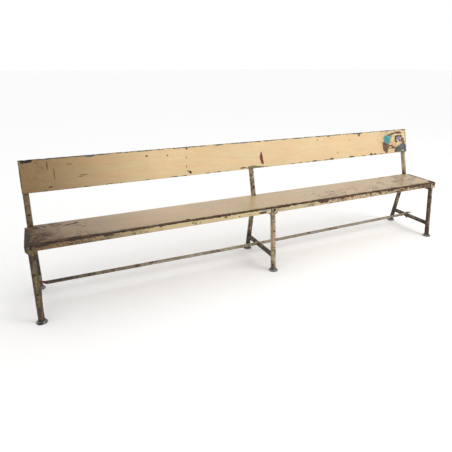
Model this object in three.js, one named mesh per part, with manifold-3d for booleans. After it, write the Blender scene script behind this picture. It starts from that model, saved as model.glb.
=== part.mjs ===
// A long painted bench: a wooden seat plank and a leaning back board, carried by three
// identical pipe frames that two stretcher pipes tie together near the floor.
// Millimetres, +Z up, +X along the bench, +Y towards the back. The origin is on the floor,
// under the middle of the bench, halfway between the front and the rear feet.
import * as THREE from 'three';
import { mergeVertices } from 'three/addons/utils/BufferGeometryUtils.js';
import Module from 'manifold-3d';

const wasm = await Module();
wasm.setup();

// Driving dimensions.
const CLEARANCE = 0.3;            // left between pieces that touch
const FRAME_SPACING = 1445;       // between neighbouring frames
const SEAT_HEIGHT = 450;          // floor to the top of the seat
const SEAT_DEPTH = 300;
const SEAT_THICKNESS = 38;
const SEAT_OVERHANG = 30;         // from an end frame's middle to the end of the seat
const SEAT_ROUNDING = 5;          // on the long edges of the seat
const SEAT_FRONT_Y = -186;
const BOARD_HEIGHT = 190;         // measured along its lean
const BOARD_THICKNESS = 18;
const BOARD_LEFT_OVERHANG = 18;   // from an end frame's middle to the end of the board
const BOARD_RIGHT_OVERHANG = 8;
const BOARD_ROUNDING = 3;
const BOARD_ABOVE_SEAT = 181;     // from the seat up to the board's rear lower edge
const LEAN = THREE.MathUtils.degToRad(14);
const FOOT_SPACING = 398;         // between the front and the rear foot
const PIPE_RADIUS = 16.85;        // legs and uprights
const PIPE_WALL = 2.6;
const BEND_RADIUS = 150;          // of the rear pipe, at seat height
const BEND_INSET = 4;             // from the seat's rear edge to the rear pipe's axis
const BEND_STEPS = 34;            // along a whole rear pipe
const UPRIGHT_BELOW_TOP = 14;     // the upright stops this far under the board's top edge
const BRACE_RADIUS = 16;
const BRACE_WALL = 2.6;
const BRACE_HEIGHT = 105;         // floor to the brace's axis
const STRETCHER_RADIUS = 10.65;
const STRETCHER_WALL = 2.3;
const STRETCHER_SHARE = 0.6;      // how far back along the brace the stretchers meet it
const FOOT_RADIUS = 30;
const FOOT_NECK_WALL = 5.15;      // around the pipe, at the top of the foot
const FOOT_HEIGHT = 15;
const FOOT_RIM = 4;
const FOOT_FLOOR = 4;             // thickness under the end of the pipe
const FOOT_LIP = 1;               // worn-down corner at the top of the neck
const FOOT_SIDES = 28;
const TAB_WIDTH = 46;
const TAB_THICKNESS = 4;
const TAB_BELOW_SEAT = 8;
const TAB_BELOW_TOP = 5;          // from the top of the seat down to the tab's top edge
const TAB_BOLT_BELOW_TOP = 17;
const BEARER_LEG = 30;            // an angle under the seat, both legs alike
const BEARER_WALL = 4;
const BEARER_SCREW_INSET = 75;    // from each end of the bearer
const SPARE_HOLE_RADIUS = 5;
const LEG_HOLE_HEIGHTS = [170, 285];
const UPRIGHT_HOLE_ABOVE_SEAT = 62;
const FASTENER_RADIUS = 4;
const HOLE_RADIUS = FASTENER_RADIUS + CLEARANCE;
const HEX_RADIUS = 7.5;           // across the corners
const HEX_THICKNESS = 5.5;
const SCREW_BITE = 12;            // how deep a screw goes into the back board
const LAG_LENGTH = 40;            // leg bolt, from under its head
const BOARD_SCREW_INSET = 45;     // from the board's long edges
const BEARER_SCREW_LENGTH = 26;
const STRETCHER_RISE = 10;         // from the middle brace's axis up to the round end
const TONGUE_LENGTH = 52;         // flattened stretcher end
const TONGUE_WIDTH = 28;
const TONGUE_THICKNESS = 4;
const TONGUE_INNER = 17;          // flat from the brace's axis inwards
const TONGUE_OUTER = { left: 17, right: 42 };
const NUT_THICKNESS = 6.5;
const BOLT_PAST_NUT = 4;
const ROUND = 20;                 // sides on pipes
const SMALL_ROUND = 12;           // sides on bolts and holes
const ROUNDING_STEPS = 4;         // on a rounded long edge of the wood
const PAST = 2;                   // how far a cutting shape passes the surface it cuts

// Worked out from the driving dimensions.
const SEAT_UNDERSIDE = SEAT_HEIGHT - SEAT_THICKNESS;
const SEAT_LENGTH = 2 * (FRAME_SPACING + SEAT_OVERHANG);
const SEAT_REAR_Y = SEAT_FRONT_Y + SEAT_DEPTH;
const FRONT_FOOT_Y = -FOOT_SPACING / 2;
const REAR_FOOT_Y = FOOT_SPACING / 2;
const LEG_TOP = new THREE.Vector3(0, SEAT_FRONT_Y + PIPE_RADIUS, SEAT_UNDERSIDE - CLEARANCE);
const BEND = new THREE.Vector3(0, SEAT_REAR_Y - BEND_INSET, SEAT_HEIGHT - SEAT_THICKNESS / 2);
const UP_THE_BACK = new THREE.Vector3(0, Math.sin(LEAN), Math.cos(LEAN));
const OUT_OF_BACK = new THREE.Vector3(0, Math.cos(LEAN), -Math.sin(LEAN));
const BEARER_TOP = SEAT_UNDERSIDE - CLEARANCE;
const BOARD_BOTTOM_Z = SEAT_HEIGHT + BOARD_ABOVE_SEAT;
const FOOT_NECK_RADIUS = PIPE_RADIUS + FOOT_NECK_WALL;

const FINISH = {
  seatPaint: { color: 0xc5b094, roughness: 0.42, metalness: 0 },
  boardPaint: { color: 0xe8cea2, roughness: 0.5, metalness: 0 },
  framePaint: { color: 0xb7a684, roughness: 0.55, metalness: 0 },
  bracePaint: { color: 0x5c574b, roughness: 0.6, metalness: 0 },
  footSteel: { color: 0x4b4a48, roughness: 0.5, metalness: 1 },
  fastenerSteel: { color: 0x3d332b, roughness: 0.6, metalness: 1 },
};

function material(finish) {
  return new THREE.MeshStandardMaterial(finish);
}

function toSolid(geometry) {
  const bare = new THREE.BufferGeometry();
  bare.setAttribute('position', geometry.getAttribute('position'));
  bare.setIndex(geometry.getIndex());
  const merged = mergeVertices(bare, 1e-4);
  return new wasm.Manifold(new wasm.Mesh({
    numProp: 3,
    vertProperties: new Float32Array(merged.getAttribute('position').array),
    triVerts: new Uint32Array(merged.getIndex().array),
  }));
}

function toGeometry(solid) {
  const mesh = solid.getMesh();
  const geometry = new THREE.BufferGeometry();
  geometry.setAttribute('position', new THREE.BufferAttribute(mesh.vertProperties, 3));
  geometry.setIndex(new THREE.BufferAttribute(mesh.triVerts, 1));
  geometry.computeVertexNormals();
  return geometry;
}

function namedMesh(name, solid, finish) {
  const mesh = new THREE.Mesh(toGeometry(solid), material(finish));
  mesh.name = name;
  return mesh;
}

function box(width, depth, height, x, y, z) {
  return toSolid(new THREE.BoxGeometry(width, depth, height).translate(x, y, z));
}

// A round bar between two points.
function bar(radius, from, to, sides = ROUND) {
  const along = to.clone().sub(from);
  const geometry = new THREE.CylinderGeometry(radius, radius, along.length(), sides);
  const turn = new THREE.Quaternion();
  turn.setFromUnitVectors(new THREE.Vector3(0, 1, 0), along.clone().normalize());
  geometry.applyQuaternion(turn);
  const middle = from.clone().add(to).multiplyScalar(0.5);
  return toSolid(geometry.translate(middle.x, middle.y, middle.z));
}

function stretchBothWays(from, to, extra) {
  const along = to.clone().sub(from).normalize().multiplyScalar(extra);
  return [from.clone().sub(along), to.clone().add(along)];
}

function pipe(radius, wall, from, to) {
  const bore = bar(radius - wall, ...stretchBothWays(from, to, 1));
  return bar(radius, from, to).subtract(bore);
}

function pointAtHeight(low, high, z) {
  return low.clone().lerp(high, (z - low.z) / (high.z - low.z));
}

const FRONT_FLOOR = new THREE.Vector3(0, FRONT_FOOT_Y, 0);
const REAR_FLOOR = new THREE.Vector3(0, REAR_FOOT_Y, 0);

// Where a leaning pipe's square end stops, so that it clears the foot's floor.
function pipeStart(floorPoint, upperPoint) {
  const along = upperPoint.clone().sub(floorPoint).normalize();
  const tilt = Math.acos(along.z);
  const height = FOOT_FLOOR + CLEARANCE + PIPE_RADIUS * Math.sin(tilt);
  return pointAtHeight(floorPoint, upperPoint, height);
}

function uprightAxisPoint(distance) {
  return BEND.clone().addScaledVector(UP_THE_BACK, distance);
}

// The board's rear face lies against the front of the uprights.
function boardPoint(alongLean, outFromRearFace) {
  const start = (BOARD_BOTTOM_Z - BEND.z) / UP_THE_BACK.z;
  const faceOffset = -(PIPE_RADIUS + CLEARANCE);
  return uprightAxisPoint(start + alongLean).addScaledVector(OUT_OF_BACK, faceOffset - outFromRearFace);
}

function seatBlank() {
  const r = SEAT_ROUNDING;
  const outline = new THREE.Shape();
  outline.moveTo(SEAT_FRONT_Y + r, SEAT_UNDERSIDE);
  outline.lineTo(SEAT_REAR_Y - r, SEAT_UNDERSIDE);
  outline.absarc(SEAT_REAR_Y - r, SEAT_UNDERSIDE + r, r, -Math.PI / 2, 0);
  outline.absarc(SEAT_REAR_Y - r, SEAT_HEIGHT - r, r, 0, Math.PI / 2);
  outline.absarc(SEAT_FRONT_Y + r, SEAT_HEIGHT - r, r, Math.PI / 2, Math.PI);
  outline.absarc(SEAT_FRONT_Y + r, SEAT_UNDERSIDE + r, r, Math.PI, 1.5 * Math.PI);
  const blank = new THREE.ExtrudeGeometry(outline, {
    depth: SEAT_LENGTH, bevelEnabled: false, curveSegments: ROUNDING_STEPS,
  });
  // Extruded along Z: turn the outline's x to Y, its y to Z and its depth to X.
  blank.applyMatrix4(new THREE.Matrix4().set(
    0, 0, 1, -SEAT_LENGTH / 2,
    1, 0, 0, 0,
    0, 1, 0, 0,
    0, 0, 0, 1,
  ));
  return toSolid(blank);
}

// Slots in the rear edge let the rear pipes rise past the seat; the end ones run out at the
// corners.
function seatSlots() {
  const front = BEND.y - PIPE_RADIUS - CLEARANCE;
  const half = PIPE_RADIUS + CLEARANCE;
  const depth = SEAT_REAR_Y - front + PAST;
  const height = SEAT_THICKNESS + 2 * PAST;
  const z = SEAT_UNDERSIDE + SEAT_THICKNESS / 2;
  const endWidth = half + SEAT_OVERHANG + PAST;
  const endX = FRAME_SPACING - half + endWidth / 2;
  return [
    box(2 * half, depth, height, 0, front + depth / 2, z),
    box(endWidth, depth, height, endX, front + depth / 2, z),
    box(endWidth, depth, height, -endX, front + depth / 2, z),
  ];
}

const BEARER_SCREWS_Y = [LEG_TOP.y + BEARER_SCREW_INSET, BEND.y - BEARER_SCREW_INSET];
const BEARER_SCREW_X = BEARER_LEG / 2 - BEARER_WALL / 2;

function bearerScrewBase(y) {
  return new THREE.Vector3(BEARER_SCREW_X, y, BEARER_TOP - BEARER_WALL - CLEARANCE);
}

const TAB_BOLT_Z = SEAT_HEIGHT - TAB_BOLT_BELOW_TOP;
const TAB_REAR_Y = SEAT_FRONT_Y - CLEARANCE;
const TAB_BOLT_HEAD = new THREE.Vector3(0, TAB_REAR_Y - TAB_THICKNESS - CLEARANCE, TAB_BOLT_Z);

function seatHoles(x) {
  const at = new THREE.Vector3(x, 0, 0);
  const bolt = TAB_BOLT_HEAD.clone().add(at);
  const boltEnd = bolt.clone().add(new THREE.Vector3(0, LAG_LENGTH + CLEARANCE, 0));
  const holes = [bar(HOLE_RADIUS, bolt, boltEnd, SMALL_ROUND)];
  for (const y of BEARER_SCREWS_Y) {
    const base = bearerScrewBase(y).add(at);
    const tip = base.clone().add(new THREE.Vector3(0, 0, BEARER_SCREW_LENGTH + CLEARANCE));
    holes.push(bar(HOLE_RADIUS, base, tip, SMALL_ROUND));
  }
  return holes;
}

function seatBoard() {
  const cuts = seatSlots();
  for (const x of [-FRAME_SPACING, 0, FRAME_SPACING]) cuts.push(...seatHoles(x));
  return namedMesh('seat_board', seatBlank().subtract(wasm.Manifold.union(cuts)), FINISH.seatPaint);
}

const BOARD_SCREW_PLACES = [BOARD_SCREW_INSET, BOARD_HEIGHT - BOARD_SCREW_INSET];

// From the seat of the screw's head behind the upright to the screw's tip in the board.
function boardScrewEnds(alongLean) {
  const headOut = -(2 * PIPE_RADIUS + 2 * CLEARANCE);
  return [boardPoint(alongLean, headOut), boardPoint(alongLean, SCREW_BITE)];
}

function backBoard() {
  const start = -FRAME_SPACING - BOARD_LEFT_OVERHANG;
  const length = FRAME_SPACING + BOARD_RIGHT_OVERHANG - start;
  const r = BOARD_ROUNDING;
  const outline = new THREE.Shape();
  outline.moveTo(r, 0);
  outline.lineTo(BOARD_HEIGHT - r, 0);
  outline.absarc(BOARD_HEIGHT - r, r, r, -Math.PI / 2, 0);
  outline.absarc(BOARD_HEIGHT - r, BOARD_THICKNESS - r, r, 0, Math.PI / 2);
  outline.absarc(r, BOARD_THICKNESS - r, r, Math.PI / 2, Math.PI);
  outline.absarc(r, r, r, Math.PI, 1.5 * Math.PI);
  const blank = new THREE.ExtrudeGeometry(outline, {
    depth: length, bevelEnabled: false, curveSegments: ROUNDING_STEPS,
  });
  const corner = boardPoint(0, 0);
  const [up, out] = [UP_THE_BACK, OUT_OF_BACK];
  // The outline's x runs up the lean, its y out of the front and its depth along the bench.
  blank.applyMatrix4(new THREE.Matrix4().set(
    0, 0, 1, start,
    up.y, -out.y, 0, corner.y,
    up.z, -out.z, 0, corner.z,
    0, 0, 0, 1,
  ));
  const holes = [];
  for (const x of [-FRAME_SPACING, 0, FRAME_SPACING]) {
    for (const place of BOARD_SCREW_PLACES) {
      const tip = boardPoint(place, SCREW_BITE + CLEARANCE).setX(x);
      holes.push(bar(HOLE_RADIUS, boardPoint(place, -PAST).setX(x), tip, SMALL_ROUND));
    }
  }
  const solid = toSolid(blank).subtract(wasm.Manifold.union(holes));
  return namedMesh('back_board', solid, FINISH.boardPaint);
}

// A hole through the front wall of a pipe only.
function frontHole(axisPoint) {
  const front = axisPoint.clone().add(new THREE.Vector3(0, -2 * PIPE_RADIUS, 0));
  return bar(SPARE_HOLE_RADIUS, front, axisPoint, SMALL_ROUND);
}

function tabBlank(grow) {
  const top = SEAT_HEIGHT - TAB_BELOW_TOP;
  const bottom = SEAT_UNDERSIDE - TAB_BELOW_SEAT;
  const y = TAB_REAR_Y - TAB_THICKNESS / 2;
  const [width, depth, height] = [TAB_WIDTH, TAB_THICKNESS, top - bottom].map((size) => size + 2 * grow);
  return box(width, depth, height, 0, y, (top + bottom) / 2);
}

function legTab(side) {
  const through = new THREE.Vector3(0, TAB_THICKNESS + 4 * CLEARANCE, 0);
  const hole = bar(HOLE_RADIUS, TAB_BOLT_HEAD, TAB_BOLT_HEAD.clone().add(through), SMALL_ROUND);
  return namedMesh(`leg_tab_${side}`, tabBlank(0).subtract(hole), FINISH.framePaint);
}

function frontLeg(side) {
  const start = pipeStart(FRONT_FLOOR, LEG_TOP);
  const longTop = stretchBothWays(start, LEG_TOP, PIPE_RADIUS)[1];
  const leg = pipe(PIPE_RADIUS, PIPE_WALL, start, longTop);
  const block = 4 * PIPE_RADIUS;
  const aboveSeatLine = box(block, block, block, 0, LEG_TOP.y, LEG_TOP.z + block / 2);
  const cuts = [aboveSeatLine, tabBlank(CLEARANCE)];
  for (const z of LEG_HOLE_HEIGHTS) cuts.push(frontHole(pointAtHeight(FRONT_FLOOR, LEG_TOP, z)));
  return namedMesh(`front_leg_${side}`, leg.subtract(wasm.Manifold.union(cuts)), FINISH.framePaint);
}

function rearPipePath() {
  const start = pipeStart(REAR_FLOOR, BEND);
  const toFoot = start.clone().sub(BEND).normalize();
  const turn = UP_THE_BACK.angleTo(toFoot.clone().negate());
  const tangentLength = BEND_RADIUS * Math.tan(turn / 2);
  const bendStart = BEND.clone().addScaledVector(toFoot, tangentLength);
  const bendEnd = uprightAxisPoint(tangentLength);
  const rise = (BOARD_BOTTOM_Z - BEND.z) / UP_THE_BACK.z + BOARD_HEIGHT - UPRIGHT_BELOW_TOP;
  const path = new THREE.CurvePath();
  path.add(new THREE.LineCurve3(start, bendStart));
  path.add(new THREE.QuadraticBezierCurve3(bendStart, BEND, bendEnd));
  path.add(new THREE.LineCurve3(bendEnd, uprightAxisPoint(rise)));
  return path;
}

function rearPipe(side) {
  const section = new THREE.Shape().absarc(0, 0, PIPE_RADIUS, 0, 2 * Math.PI);
  section.holes.push(new THREE.Path().absarc(0, 0, PIPE_RADIUS - PIPE_WALL, 0, 2 * Math.PI, true));
  const swept = new THREE.ExtrudeGeometry(section, {
    steps: BEND_STEPS, curveSegments: ROUND / 2, bevelEnabled: false, extrudePath: rearPipePath(),
  });
  const holeRise = (SEAT_HEIGHT + UPRIGHT_HOLE_ABOVE_SEAT - BEND.z) / UP_THE_BACK.z;
  const holes = [frontHole(uprightAxisPoint(holeRise))];
  for (const place of BOARD_SCREW_PLACES) {
    const [head, tip] = boardScrewEnds(place);
    holes.push(bar(HOLE_RADIUS, head, tip, SMALL_ROUND));
  }
  const solid = toSolid(swept).subtract(wasm.Manifold.union(holes));
  return namedMesh(`rear_pipe_${side}`, solid, FINISH.framePaint);
}

const BRACE_FRONT = pointAtHeight(FRONT_FLOOR, LEG_TOP, BRACE_HEIGHT);
const BRACE_REAR = pointAtHeight(REAR_FLOOR, BEND, BRACE_HEIGHT);

// Both legs as bars, thicker by the clearance, to shape what is welded between them.
function legsWithClearance() {
  const reach = PIPE_RADIUS + CLEARANCE;
  const front = bar(reach, ...stretchBothWays(FRONT_FLOOR, LEG_TOP, BEARER_WALL));
  const rear = bar(reach, ...stretchBothWays(REAR_FLOOR, BEND, BEARER_WALL));
  return front.add(rear);
}

// The brace's ends are shaped to the two legs that it is welded to.
function brace(side) {
  const coped = pipe(BRACE_RADIUS, BRACE_WALL, BRACE_FRONT, BRACE_REAR).subtract(legsWithClearance());
  const solid = side === 'middle' ? coped : coped.subtract(stretcherBoltHole());
  return namedMesh(`brace_${side}`, solid, FINISH.bracePaint);
}

const STRETCHER_POINT = BRACE_FRONT.clone().lerp(BRACE_REAR, STRETCHER_SHARE);
const STRETCHER_END = STRETCHER_POINT.clone().setZ(BRACE_HEIGHT + STRETCHER_RISE);
const TONGUE_UNDERSIDE = BRACE_HEIGHT + BRACE_RADIUS + CLEARANCE;
const TONGUE_TOP = TONGUE_UNDERSIDE + TONGUE_THICKNESS;
const STRETCHER_BOLT_TOP = STRETCHER_POINT.clone().setZ(TONGUE_TOP + CLEARANCE);
const BOLT_DROP = BRACE_RADIUS + NUT_THICKNESS + BOLT_PAST_NUT;
const STRETCHER_BOLT_BOTTOM = STRETCHER_POINT.clone().setZ(BRACE_HEIGHT - BOLT_DROP);

function stretcherBoltHole() {
  return bar(HOLE_RADIUS, STRETCHER_BOLT_TOP, STRETCHER_BOLT_BOTTOM, SMALL_ROUND);
}

// The flattened end: a round-to-flat hull that climbs beside the brace and lies on top of it.
// inward is the direction along X from the end frame to the middle one.
function stretcherTongue(side, inward) {
  const slabZ = TONGUE_UNDERSIDE + TONGUE_THICKNESS / 2;
  const slabLength = TONGUE_INNER + TONGUE_OUTER[side];
  const slabX = inward * (TONGUE_INNER - TONGUE_OUTER[side]) / 2;
  const slab = box(slabLength, TONGUE_WIDTH, TONGUE_THICKNESS, slabX, STRETCHER_POINT.y, slabZ);
  const edgeX = inward * (TONGUE_INNER - PAST / 2);
  const slabEdge = box(PAST, TONGUE_WIDTH, TONGUE_THICKNESS, edgeX, STRETCHER_POINT.y, slabZ);
  const roundFrom = STRETCHER_END.clone().setX(inward * TONGUE_LENGTH);
  const roundTo = STRETCHER_END.clone().setX(inward * (TONGUE_LENGTH + 2 * PAST));
  const climb = wasm.Manifold.hull([slabEdge, bar(STRETCHER_RADIUS, roundFrom, roundTo)]);
  return slab.add(climb).subtract(stretcherBoltHole());
}

// A stretcher runs from an end frame's brace to the middle one, where it is shaped to the
// brace's round side. The solid lies relative to its end frame.
function stretcher(side) {
  const inward = side === 'left' ? 1 : -1;
  const from = STRETCHER_END.clone().setX(inward * (TONGUE_LENGTH + PAST));
  const to = STRETCHER_POINT.clone().setX(inward * (FRAME_SPACING - BRACE_RADIUS / 2));
  const middleBrace = bar(BRACE_RADIUS + CLEARANCE,
    BRACE_FRONT.clone().setX(inward * FRAME_SPACING), BRACE_REAR.clone().setX(inward * FRAME_SPACING));
  const solid = pipe(STRETCHER_RADIUS, STRETCHER_WALL, from, to).subtract(middleBrace);
  const tongue = stretcherTongue(side, inward);
  const mesh = namedMesh(`stretcher_${side}`, solid.add(tongue), FINISH.bracePaint);
  mesh.position.x = -inward * FRAME_SPACING;
  return mesh;
}

function hexHead(seat, away, thickness) {
  const top = seat.clone().addScaledVector(away, thickness);
  return bar(HEX_RADIUS, seat, top, 6);
}

// A hex-headed screw or bolt: seat is under the head, away points out of the head.
function screw(name, seat, tip) {
  const away = seat.clone().sub(tip).normalize();
  const shankTop = seat.clone().addScaledVector(away, HEX_THICKNESS / 2);
  const head = hexHead(seat, away, HEX_THICKNESS);
  const solid = bar(FASTENER_RADIUS, tip, shankTop, SMALL_ROUND).add(head);
  return namedMesh(name, solid, FINISH.fastenerSteel);
}

function tabBolt(side) {
  const tip = TAB_BOLT_HEAD.clone().add(new THREE.Vector3(0, LAG_LENGTH, 0));
  return screw(`tab_bolt_${side}`, TAB_BOLT_HEAD, tip);
}

function boardScrews(side) {
  const names = ['lower', 'upper'];
  return BOARD_SCREW_PLACES.map((place, i) => {
    const [seat, tip] = boardScrewEnds(place);
    return screw(`board_screw_${names[i]}_${side}`, seat, tip);
  });
}

function bearerScrews(side) {
  const names = ['front', 'rear'];
  return BEARER_SCREWS_Y.map((y, i) => {
    const seat = bearerScrewBase(y);
    const tip = seat.clone().add(new THREE.Vector3(0, 0, BEARER_SCREW_LENGTH));
    return screw(`bearer_screw_${names[i]}_${side}`, seat, tip);
  });
}

function stretcherBolt(side) {
  return screw(`stretcher_bolt_${side}`, STRETCHER_BOLT_TOP, STRETCHER_BOLT_BOTTOM);
}

function stretcherNut(side) {
  const top = STRETCHER_POINT.clone().setZ(BRACE_HEIGHT - BRACE_RADIUS - CLEARANCE);
  const bore = bar(HOLE_RADIUS, top.clone().setZ(top.z + PAST), STRETCHER_BOLT_BOTTOM, SMALL_ROUND);
  const nut = hexHead(top, new THREE.Vector3(0, 0, -1), NUT_THICKNESS).subtract(bore);
  return namedMesh(`stretcher_nut_${side}`, nut, FINISH.fastenerSteel);
}

// An angle between the front leg and the rear pipe, shaped to both, that carries the seat.
function bearer(side) {
  const depth = BEND.y - LEG_TOP.y;
  const y = (LEG_TOP.y + BEND.y) / 2;
  const flatX = BEARER_LEG / 2 - BEARER_WALL / 2;
  const flat = box(BEARER_LEG, depth, BEARER_WALL, flatX, y, BEARER_TOP - BEARER_WALL / 2);
  const web = box(BEARER_WALL, depth, BEARER_LEG, 0, y, BEARER_TOP - BEARER_LEG / 2);
  const cuts = [legsWithClearance()];
  for (const screwY of BEARER_SCREWS_Y) {
    const base = bearerScrewBase(screwY);
    cuts.push(bar(HOLE_RADIUS, base, base.clone().setZ(BEARER_TOP + PAST), SMALL_ROUND));
  }
  const solid = flat.add(web).subtract(wasm.Manifold.union(cuts));
  return namedMesh(`seat_bearer_${side}`, solid, FINISH.bracePaint);
}

// A flared steel shoe with a socket that follows the leg's lean.
function foot(name, floorPoint, upperPoint) {
  const profile = [
    new THREE.Vector2(0, 0),
    new THREE.Vector2(FOOT_RADIUS, 0),
    new THREE.Vector2(FOOT_RADIUS, FOOT_RIM),
    new THREE.Vector2(FOOT_NECK_RADIUS, FOOT_HEIGHT - 2 * FOOT_LIP),
    new THREE.Vector2(FOOT_NECK_RADIUS - FOOT_LIP, FOOT_HEIGHT),
    new THREE.Vector2(0, FOOT_HEIGHT),
  ];
  const flare = new THREE.LatheGeometry(profile, FOOT_SIDES).rotateX(Math.PI / 2);
  flare.translate(floorPoint.x, floorPoint.y, 0);
  const start = pipeStart(floorPoint, upperPoint);
  const along = upperPoint.clone().sub(floorPoint).normalize();
  const socketStart = start.clone().addScaledVector(along, -CLEARANCE);
  const socketEnd = start.clone().addScaledVector(along, 4 * FOOT_HEIGHT);
  const socket = bar(PIPE_RADIUS + CLEARANCE, socketStart, socketEnd);
  return namedMesh(name, toSolid(flare).subtract(socket), FINISH.footSteel);
}

function frame(side, x) {
  const group = new THREE.Group();
  group.position.x = x;
  group.add(frontLeg(side), rearPipe(side), brace(side), bearer(side), legTab(side), tabBolt(side));
  group.add(foot(`front_foot_${side}`, FRONT_FLOOR, LEG_TOP));
  group.add(foot(`rear_foot_${side}`, REAR_FLOOR, BEND));
  group.add(...boardScrews(side), ...bearerScrews(side));
  if (side !== 'middle') group.add(stretcherBolt(side), stretcherNut(side));
  return group;
}

const bench = new THREE.Group();
bench.add(seatBoard(), backBoard());
bench.add(frame('left', -FRAME_SPACING), frame('middle', 0), frame('right', FRAME_SPACING));
bench.add(stretcher('left'), stretcher('right'));

export default bench;
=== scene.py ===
"""A long painted bench, worn by years of use outdoors: a wooden seat plank and a leaning back
board on three welded pipe frames. Metres, +Z up, +X along the bench, +Y towards its back."""

import math

import bmesh
import bpy
import numpy as np
from mathutils import Matrix, Vector, noise


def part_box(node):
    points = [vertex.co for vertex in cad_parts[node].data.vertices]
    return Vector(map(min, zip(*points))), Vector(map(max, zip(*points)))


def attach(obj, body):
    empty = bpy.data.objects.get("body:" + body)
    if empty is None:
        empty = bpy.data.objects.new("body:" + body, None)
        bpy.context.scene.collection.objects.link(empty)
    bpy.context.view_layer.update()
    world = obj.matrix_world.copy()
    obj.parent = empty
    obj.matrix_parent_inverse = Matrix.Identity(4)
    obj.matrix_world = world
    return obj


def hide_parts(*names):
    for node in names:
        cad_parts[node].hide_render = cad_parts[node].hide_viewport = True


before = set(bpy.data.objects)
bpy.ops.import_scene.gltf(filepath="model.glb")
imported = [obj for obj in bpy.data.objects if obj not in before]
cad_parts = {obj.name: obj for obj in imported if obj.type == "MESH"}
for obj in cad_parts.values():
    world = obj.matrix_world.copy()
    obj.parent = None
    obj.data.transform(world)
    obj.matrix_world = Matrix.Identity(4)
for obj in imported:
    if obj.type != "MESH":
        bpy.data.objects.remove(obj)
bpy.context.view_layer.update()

# --------------------
# Camera: at eye height in front of the bench's left end, looking along it to the right.
# The small shift keeps the bench in the middle of a square picture.
EYE = (-1.3216, -2.4370, 1.3646)
HEADING, DIP, ROLL = 25.14, 17.68, 0.31
view = bpy.data.objects.new("view", bpy.data.cameras.new("view"))
bpy.context.scene.collection.objects.link(view)
view.matrix_world = (
    Matrix.Translation(EYE)
    @ Matrix.Rotation(math.radians(-HEADING), 4, "Z")
    @ Matrix.Rotation(math.radians(90 - DIP), 4, "X")
    @ Matrix.Rotation(math.radians(ROLL), 4, "Z")
)
view.data.lens = 33.54
view.data.shift_x = -0.0259
view.data.shift_y = -0.0695
bpy.context.scene.camera = view


# --------------------
# Studio: a pale floor under soft white light. The main light is high on the right, in front,
# so that the bench grows darker towards its left end.
def colour(code):
    """A six-digit sRGB hex colour as linear RGBA."""
    channels = [int(code[i:i + 2], 16) / 255 for i in (0, 2, 4)]
    linear = [c / 12.92 if c <= 0.04045 else ((c + 0.055) / 1.055) ** 2.4 for c in channels]
    return (*linear, 1.0)


def add(material, kind, links=None, **settings):
    """Adds a shader node, sets or links its inputs, and gives its outputs."""
    node = material.node_tree.nodes.new("ShaderNode" + kind)
    for name, value in settings.items():
        setattr(node, name, value)
    for key, value in (links or {}).items():
        if isinstance(value, bpy.types.NodeSocket):
            material.node_tree.links.new(value, node.inputs[key])
        else:
            node.inputs[key].default_value = value
    return node.outputs


def new_material(name):
    material = bpy.data.materials.new(name)
    material.use_nodes = True
    material.node_tree.nodes.clear()
    return material


def as_piece(name, bm, material):
    """Turns a finished bmesh into an object at the origin."""
    mesh = bpy.data.meshes.new(name)
    bm.to_mesh(mesh)
    bm.free()
    mesh.materials.append(material)
    piece = bpy.data.objects.new(name, mesh)
    bpy.context.scene.collection.objects.link(piece)
    return piece


# Matte white paint: even, with a very faint mottle so that it doesn't look like a void.
floor_paint = new_material("matte_white_floor_paint")
mottle = add(floor_paint, "TexNoise", {"Scale": 3.0, "Detail": 2.0})[0]
mottle_tone = add(floor_paint, "MapRange", {0: mottle, 3: 0.95, 4: 0.97})[0]
matte = add(floor_paint, "BsdfPrincipled", {"Base Color": mottle_tone, "Roughness": 0.95})[0]
add(floor_paint, "OutputMaterial", {"Surface": matte})

FLOOR_SIZE = 60
bm = bmesh.new()
bmesh.ops.create_grid(bm, x_segments=1, y_segments=1, size=FLOOR_SIZE)
as_piece("floor", bm, floor_paint)

studio = bpy.data.worlds.new("studio")
studio.use_nodes = True
bpy.context.scene.world = studio
sky = studio.node_tree.nodes["Background"]
sky.inputs[0].default_value = colour("ffffff")
sky.inputs[1].default_value = 1.0
bpy.context.scene.view_settings.view_transform = "Standard"


def soft_light(name, place, aim, size, power, tint):
    light = bpy.data.objects.new(name, bpy.data.lights.new(name, "AREA"))
    light.data.size = size
    light.data.energy = power
    light.data.color = colour(tint)[:3]
    turn = (Vector(aim) - Vector(place)).to_track_quat("-Z", "Y").to_matrix().to_4x4()
    light.matrix_world = Matrix.Translation(place) @ turn
    bpy.context.scene.collection.objects.link(light)


soft_light("main_light", place=(2.4, -2.4, 2.7), aim=(0.7, 0, 0.4), size=2.0, power=60, tint="fffaf2")


# --------------------
# Front legs: 1 inch steel pipe with two spare holes in front, brush-painted cream again and
# again. The paint is dull with dirt, and chips show brown primer and rust.
MM = 0.001
SIDES = ("left", "middle", "right")
LEAN = math.radians(14)
PIPE_WALL = 2.6 * MM
PIPE_SIDES = 40
LEG_RINGS = 50
FOOT_FLOOR = 4.3 * MM
SPARE_HOLE_RADIUS = 5 * MM
SPARE_HOLE_SIDES = 24
LEG_HOLE_HEIGHTS = (0.170, 0.285)
# How far a hole's bare rim reaches. This and all the places and sizes of wear are millimetres.
SPARE_HOLE_WEAR = 9
seat_low, seat_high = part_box("seat_board")
leg_low, leg_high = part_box("front_leg_middle")
PIPE_RADIUS = (leg_high.x - leg_low.x) / 2
frame_x = {side: sum(corner.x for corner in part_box(f"front_leg_{side}")) / 2 for side in SIDES}
foot_y = {
    end: sum(corner.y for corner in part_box(f"{end}_foot_middle")) / 2 for end in ("front", "rear")}
front_floor = Vector((0, foot_y["front"], 0))
rear_floor = Vector((0, foot_y["rear"], 0))
leg_top = Vector((0, seat_low.y + PIPE_RADIUS, leg_high.z))


def every(mm):
    """The texture scale that repeats a pattern about every so many millimetres."""
    return 1000 / mm


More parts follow.
